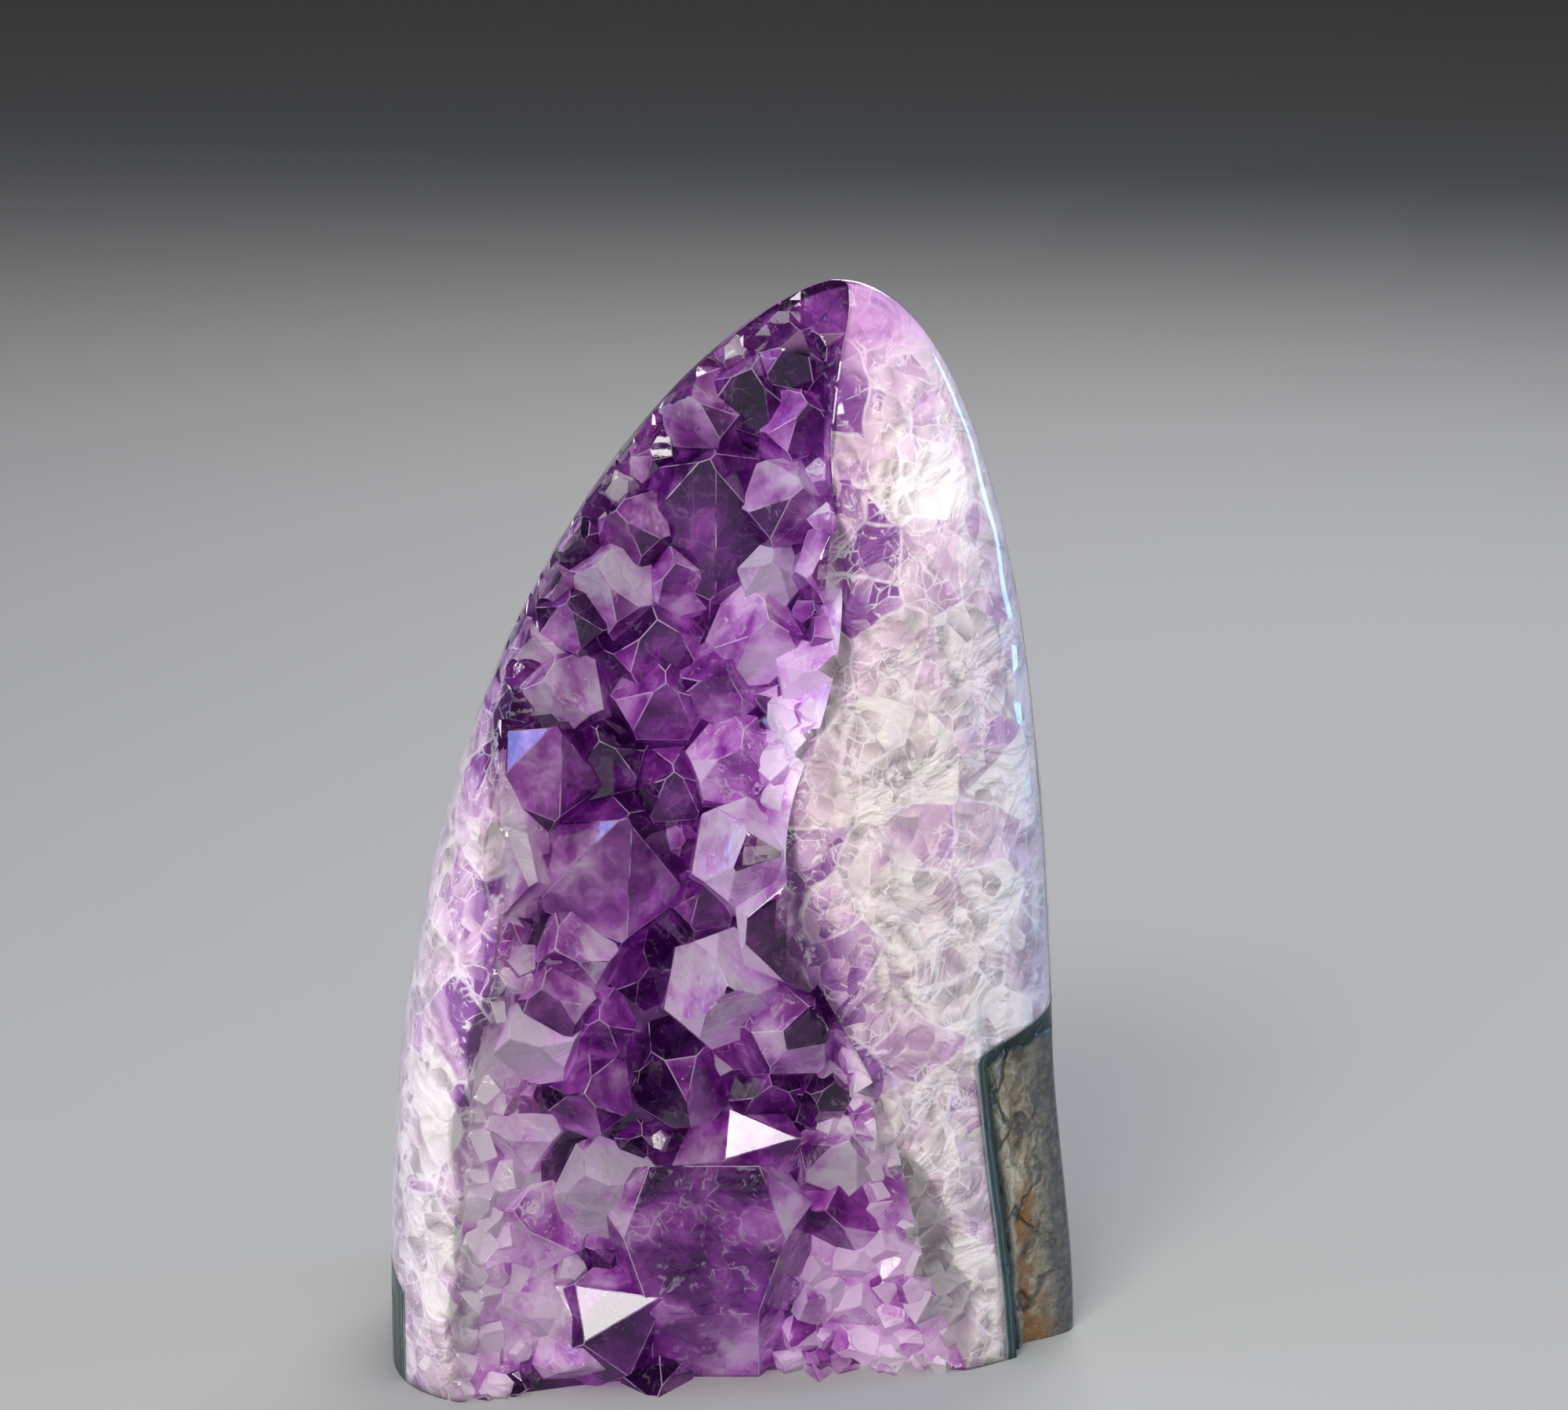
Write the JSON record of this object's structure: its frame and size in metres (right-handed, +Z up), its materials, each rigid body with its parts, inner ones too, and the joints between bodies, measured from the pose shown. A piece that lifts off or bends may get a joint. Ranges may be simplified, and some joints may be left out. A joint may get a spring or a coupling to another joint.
{
  "type": "amethyst geode",
  "caption": "Free-standing piece of amethyst geode with a flat sawn base, polished edges, an open face of natural crystals and a basalt back.",
  "frame": {"origin": "centre of the box's underside: the flat sawn base stands on Z = 0", "axes": "+Z up along the height, +Y to the rock back, so the crystals face -Y, and +X to the right seen from the crystals' side"},
  "size_m": [0.076, 0.0506, 0.1183],
  "materials": {
    "amethyst": "glossy natural crystal faces, polished border",
    "agate": "polished",
    "basalt": "rough, with smooth ground sides"
  },
  "bodies": {
    "root": {"amethyst_crystals": "amethyst", "agate_rind": "agate", "basalt_matrix": "basalt"}
  },
  "joints": []
}
